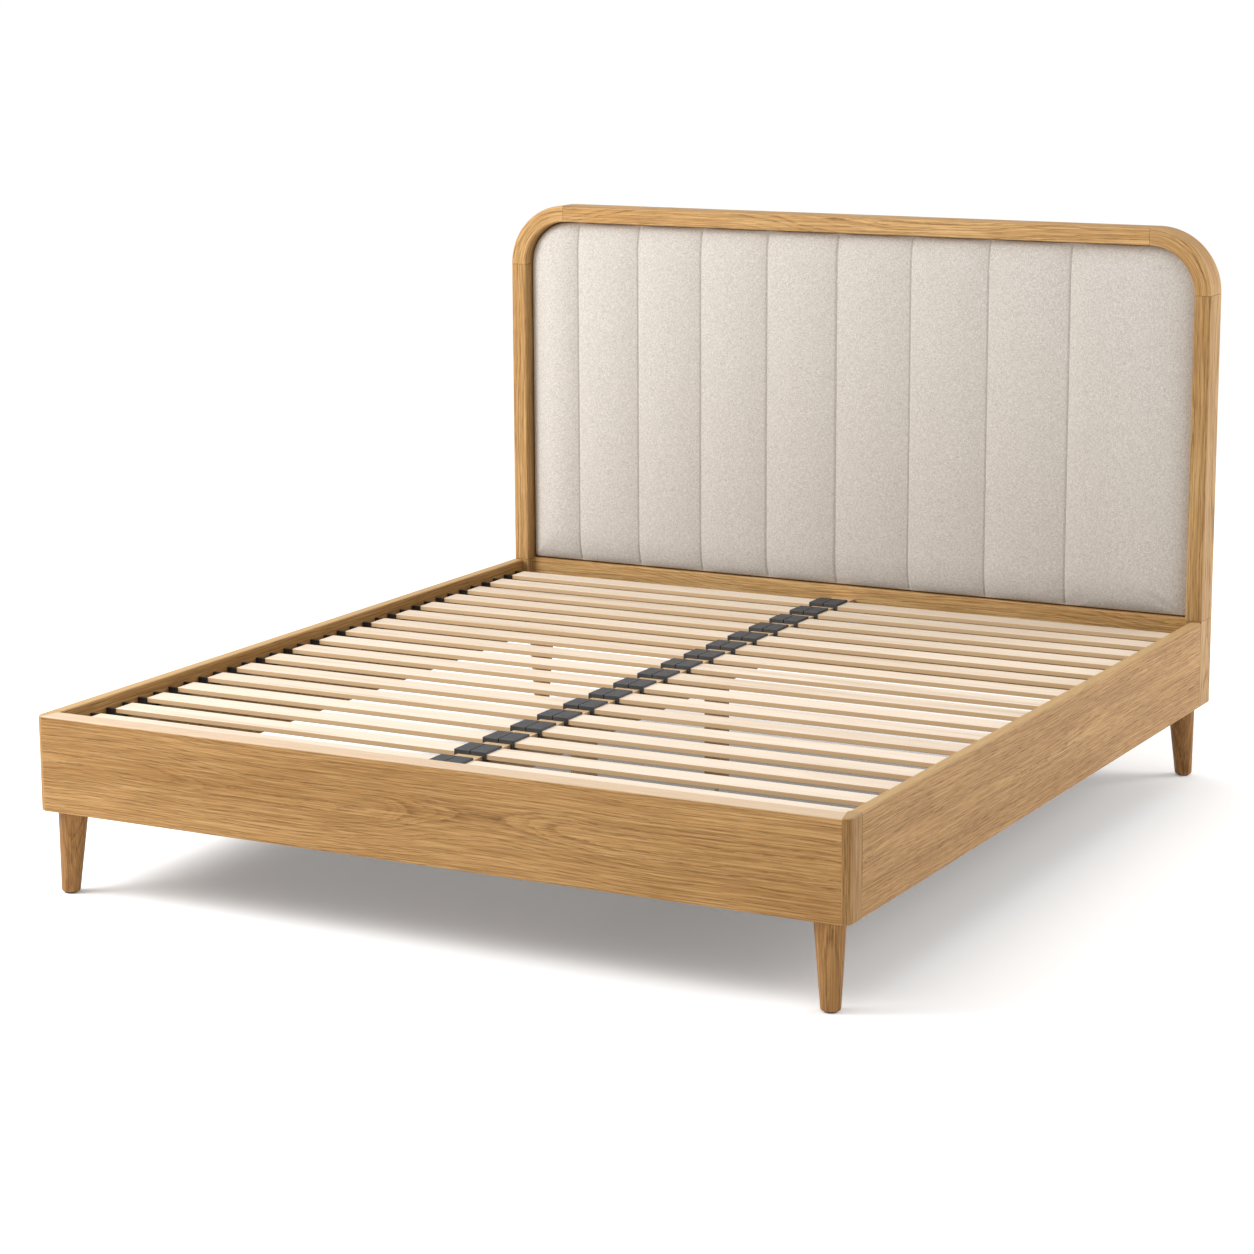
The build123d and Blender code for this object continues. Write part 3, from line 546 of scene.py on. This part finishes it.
def birch(first_y, pitch, half_width, top_z):
    """Birch veneer whose figure and tone change from slat to slat."""
    material, tree, shader = new_material("birch_slats")
    place = add(tree, "TexCoord", {}).outputs["Object"]
    axes = add(tree, "SeparateXYZ", {"Vector": place}).outputs
    row = maths(tree, "SUBTRACT", axes["Y"], first_y - pitch / 2)
    row = maths(tree, "FLOOR", maths(tree, "DIVIDE", row, pitch))
    across = maths(tree, "MULTIPLY_ADD", row, -pitch, maths(tree, "SUBTRACT", axes["Y"], first_y))
    off_centre = maths(tree, "ABSOLUTE", across)
    side = maths(tree, "GREATER_THAN", off_centre, half_width - EDGE_MARGIN)
    slat = maths(tree, "MULTIPLY_ADD", maths(tree, "SIGN", axes["X"]), 0.31, row)
    lot = add(tree, "TexWhiteNoise", {"W": slat}, noise_dimensions="1D").outputs
    shift = vectors(tree, "MULTIPLY_ADD", lot["Color"], (9, 9, 9), place)
    waves = noise(tree, shift, (1.6, 13, 13), 2.0).outputs["Color"]
    waves = vectors(tree, "MULTIPLY_ADD", waves, (0.0, 0.16, 0.16), shift)
    figure = noise(tree, waves, (1.4, 60, 60), 3.0).outputs[0]
    fibres = noise(tree, shift, (7, 620, 620), 3.0).outputs[0]
    streaks = noise(tree, shift, (1.1, 22, 4), 2.0, 5.0).outputs[0]
    tone = maths(tree, "MULTIPLY_ADD", lot["Value"], 0.35, figure)
    colour = blend_colours(tree, ramp(tree, tone, [(0.45, 0), (1, 1)]), SLAT_LIGHT, SLAT_WARM)
    streak = maths(tree, "MULTIPLY", ramp(tree, streaks, [(0.60, 0), (0.74, 1)]), 0.45)
    colour = blend_colours(tree, streak, colour, SLAT_STREAK)
    # Blends the sides towards a deeper tan: partly their own colour, partly painted shade.
    colour = blend_colours(tree, maths(tree, "MULTIPLY", side, 0.8), colour, SLAT_SIDE_TAN_AND_SHADE)
    shade = ramp(tree, fibres, [(0.3, 0.90), (0.7, 1.0)])
    colour = blend_colours(tree, 1.0, colour, shade, "MULTIPLY")
    depth = maths(tree, "DIVIDE", maths(tree, "SUBTRACT", top_z, axes["Z"]), PLY)
    glue = ramp(tree, maths(tree, "FRACT", depth), [(0.80, 0), (0.90, 0.5), (1, 0)])
    colour = blend_colours(tree, glue, colour, SLAT_GLUE)
    rough = ramp(tree, figure, [(0.3, 0.48), (0.7, 0.58)])
    finish_material(tree, shader, colour, rough, fibres, 0.0002, 0.5)
    return material


first_low, first_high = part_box("slat_row_01")
last_low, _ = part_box(f"slat_row_{ROWS:02d}")
first_row_y = (first_low.y + first_high.y) / 2
row_pitch = (last_low.y - first_low.y) / (ROWS - 1)
slat_half_width = (first_high.y - first_low.y) / 2
birch_finish = birch(first_row_y, row_pitch, slat_half_width, first_high.z)
for row_number in range(1, ROWS + 1):
    dress(f"slat_row_{row_number:02d}", birch_finish)

# ----------------------------------------------------- slat caps and holders
# The slats' inner ends sit in double caps that straddle the beam, moulded in
# dark grey polypropylene with a fine spark-eroded texture. Their outer ends sit
# in black holders on the cleats.


def moulded(name, colour, paler, roughness):
    """Matt moulded plastic: fine grained skin, slightly dusty and scuffed."""
    material, tree, shader = new_material(name)
    place = add(tree, "TexCoord", {}).outputs["Object"]
    skin = noise(tree, place, (1500, 1500, 1500), 2.0).outputs[0]
    dust = noise(tree, place, (35, 35, 35), 3.0).outputs[0]
    grain = ramp(tree, skin, [(0.35, 0.0), (0.65, 0.5)])
    dusty = maths(tree, "MULTIPLY_ADD", ramp(tree, dust, [(0.4, 0), (0.7, 1)]), 0.5, grain)
    tinted = blend_colours(tree, dusty, colour, paler)
    rough = ramp(tree, dust, [(0.3, roughness), (0.7, roughness + 0.14)])
    finish_material(tree, shader, tinted, rough, skin, 0.0002, 0.5)
    return material


grey_plastic = moulded("grey_plastic", (0.030, 0.0305, 0.033), (0.062, 0.063, 0.067), 0.5)
black_plastic = moulded("black_plastic", (0.012, 0.012, 0.013), (0.03, 0.03, 0.031), 0.38)
dress("slat_caps", grey_plastic)
for side in ("left", "right"):
    dress(f"slat_holders_{side}", black_plastic)

# ------------------------------------------------- beam, cleats and leg blocks
# Planed pine does the hidden work: a beam down the middle, a cleat along each
# rail, and a block in each corner that takes a leg's bolt. It is left bare, with
# straight, strongly marked growth rings.
PINE = {
    "light": (0.70, 0.51, 0.30),
    "warm": (0.62, 0.42, 0.225),
    "line": (0.47, 0.26, 0.11),
    "pore": (0.36, 0.20, 0.09),
    "ring": 0.0055,
    "wander": 0.06,
    "line_share": 0.55,
    "streak_share": 0.15,
    "pore_share": 0.12,
    "pale": (0.78, 0.61, 0.40),
    "pale_share": 0.25,
    "roughness": 0.55,
    "gloss": 0.35,
    "painted_top_sheen": None,
}
saw("centre_beam", "Y", (0.03, 0.05), PINE, 16.8)
saw("cleat_left", "Y", (0.05, 0.03), PINE, 17.5)
saw("cleat_right", "Y", (-0.05, 0.03), PINE, 18.2)
saw("leg_blocks", "X", (0.06, 0.03), PINE, 19.9)
for place_name, seed in (("front", 20.6), ("rear", 21.3)):
    saw(f"centre_leg_{place_name}", "Z", (0.04, 0.03), PINE, seed)

# -------------------------------------------------------------- corner legs
# Four legs turned from solid oak, splayed a little outwards, each on one bolt.
# They are oiled like the frame but a shade darker, and each stands on a black
# plastic glide.
LEG_OAK = dict(
    OAK,
    light=(0.48, 0.250, 0.080),
    warm=(0.38, 0.182, 0.052),
    line=(0.16, 0.065, 0.017),
    pale=(0.56, 0.34, 0.15),
    ring=0.0038,
)
leg_seed = 22.0
for end in ("front", "back"):
    for side in ("left", "right"):
        saw(f"leg_{end}_{side}", "Z", (0.035, 0.02), LEG_OAK, leg_seed, 0.89)
        leg_seed += 1.3
dress("leg_glides", black_plastic)

# ----------------------------------------------------------- centre-leg feet
# Each centre leg stands on a threaded stud with a black plastic foot. Turning
# the stud by its hexagon winds it into the insert in the leg and lifts the foot.
for place_name in ("front", "rear"):
    dress(f"foot_pad_{place_name}", black_plastic)


def plated(name, bright, dull, roughness):
    """Zinc-plated steel: faintly mottled, with fine drawing marks."""
    material, tree, shader = new_material(name)
    place = add(tree, "TexCoord", {}).outputs["Object"]
    mottle = noise(tree, place, (120, 120, 120), 3.0).outputs[0]
    marks = noise(tree, place, (900, 900, 60), 2.0).outputs[0]
    tinted = blend_colours(tree, ramp(tree, mottle, [(0.35, 0), (0.65, 1)]), bright, dull)
    rough = ramp(tree, mottle, [(0.3, roughness), (0.7, roughness + 0.15)])
    finish_material(tree, shader, tinted, rough, marks, 0.0001, 0.4)
    shader.inputs["Metallic"].default_value = 1.0
    return material


zinc = plated("zinc_plate", (0.66, 0.67, 0.69), (0.50, 0.51, 0.53), 0.28)
for place_name in ("front", "rear"):
    dress(f"foot_stud_{place_name}", zinc)
dress("foot_inserts", zinc)

# ----------------------------------------------------------- steel fittings
# Folded and punched steel joins the pieces: stirrups for the beam's ends, hook
# plates for the rails, angles in the foot corners, and bolts and screws.
for fitting in (
    "beam_hanger_foot",
    "beam_hanger_head",
    "corner_angles",
    "rail_hook_left",
    "rail_hook_right",
    "leg_bolts",
    "centre_leg_bolts",
    "wood_screws",
):
    dress(fitting, zinc)

# ------------------------------------------------------- camera and studio
# A seamless white studio: a pale floor that runs to the horizon, even light from
# all round that the camera sees as white, a broad light from overhead, and a large
# soft light on each side.
CAMERA_PLACE = (3.431, -6.605, 2.013)
CAMERA_YAW = math.radians(28.04)
CAMERA_PITCH = math.radians(11.67)
CAMERA_ROLL = math.radians(-0.28)
CAMERA_LENS = 96.16
SOFT_LIGHT = 0.56
SEEN_WHITE = 1.0
FLOOR_SIZE = 400
FLOOR_GLOW = 0.16
SCRIM_HEIGHT = 0.335
SCRIM_MARGIN = 0.11
SCRIM_COVER = 0.90
OVERHEAD_STRENGTH = 1.15
OVERHEAD_SPREAD = math.radians(80)
OVERHEAD_AIM = (0.30, 0.05, -1.0)
SIDE_LIGHTS = (
    ("left_light", 180, (-3.2, -2.4, 3.0)),
    ("right_light", 120, (4.2, 3.4, 2.4)),
)
SIDE_LIGHT_SIZE = 2.5
SIDE_LIGHT_AIM = (0.0, 0.2, 0.5)

camera = bpy.data.objects.new("camera", bpy.data.cameras.new("camera"))
bpy.context.scene.collection.objects.link(camera)
camera.data.lens = CAMERA_LENS
camera.data.sensor_width = 36
camera.data.clip_end = 1000
camera.matrix_world = (
    Matrix.Translation(CAMERA_PLACE)
    @ Matrix.Rotation(CAMERA_YAW, 4, "Z")
    @ Matrix.Rotation(math.pi / 2 - CAMERA_PITCH, 4, "X")
    @ Matrix.Rotation(CAMERA_ROLL, 4, "Z")
)
bpy.context.scene.camera = camera

bpy.ops.object.select_all(action="DESELECT")
bpy.ops.mesh.primitive_plane_add(size=FLOOR_SIZE, location=(0, 0, 0))
floor = bpy.context.object
floor.name = "studio_floor"
floor_material, _, floor_shader = new_material("studio_floor")
floor_shader.inputs["Base Color"].default_value = (0.93, 0.93, 0.93, 1)
floor_shader.inputs["Roughness"].default_value = 1.0
floor_shader.inputs["Specular IOR Level"].default_value = 0.0
floor_shader.inputs["Emission Color"].default_value = (1.0, 1.0, 1.0, 1)
floor_shader.inputs["Emission Strength"].default_value = FLOOR_GLOW
floor.data.materials.append(floor_material)

# A thin scrim under the slats, which the camera doesn't see, holds back most of
# the light that would fall through them and wash out the shadow on the floor.
bpy.ops.mesh.primitive_plane_add(size=1, location=(0, 0, SCRIM_HEIGHT))
scrim = bpy.context.object
scrim.name = "studio_scrim"
scrim.scale = (cad_high.x - cad_low.x - SCRIM_MARGIN, cad_high.y - cad_low.y - SCRIM_MARGIN, 1)
scrim_material, _, scrim_shader = new_material("studio_scrim")
scrim_shader.inputs["Base Color"].default_value = (0.10, 0.10, 0.10, 1)
scrim_shader.inputs["Roughness"].default_value = 1.0
scrim_shader.inputs["Specular IOR Level"].default_value = 0.0
scrim_shader.inputs["Alpha"].default_value = SCRIM_COVER
scrim.data.materials.append(scrim_material)
scrim.visible_camera = False

world = bpy.data.worlds.new("studio")
bpy.context.scene.world = world
world.use_nodes = True
background = world.node_tree.nodes["Background"]
background.inputs["Color"].default_value = (1.0, 1.0, 1.0, 1)
seen = add(world.node_tree, "LightPath", {}).outputs["Is Camera Ray"]
glow = maths(world.node_tree, "MULTIPLY_ADD", seen, SEEN_WHITE - SOFT_LIGHT, SOFT_LIGHT)
world.node_tree.links.new(glow, background.inputs["Strength"])

overhead_light = bpy.data.lights.new("overhead_light", "SUN")
overhead_light.energy = OVERHEAD_STRENGTH
overhead_light.angle = OVERHEAD_SPREAD
overhead = bpy.data.objects.new("overhead_light", overhead_light)
bpy.context.scene.collection.objects.link(overhead)
overhead.rotation_euler = Vector(OVERHEAD_AIM).to_track_quat("-Z", "Y").to_euler()
for light_name, power, place in SIDE_LIGHTS:
    light = bpy.data.lights.new(light_name, "AREA")
    light.energy = power
    light.size = SIDE_LIGHT_SIZE
    lamp = bpy.data.objects.new(light_name, light)
    bpy.context.scene.collection.objects.link(lamp)
    lamp.location = place
    aim = Vector(SIDE_LIGHT_AIM) - lamp.location
    lamp.rotation_euler = aim.to_track_quat("-Z", "Y").to_euler()
bpy.context.scene.view_settings.view_transform = "Standard"
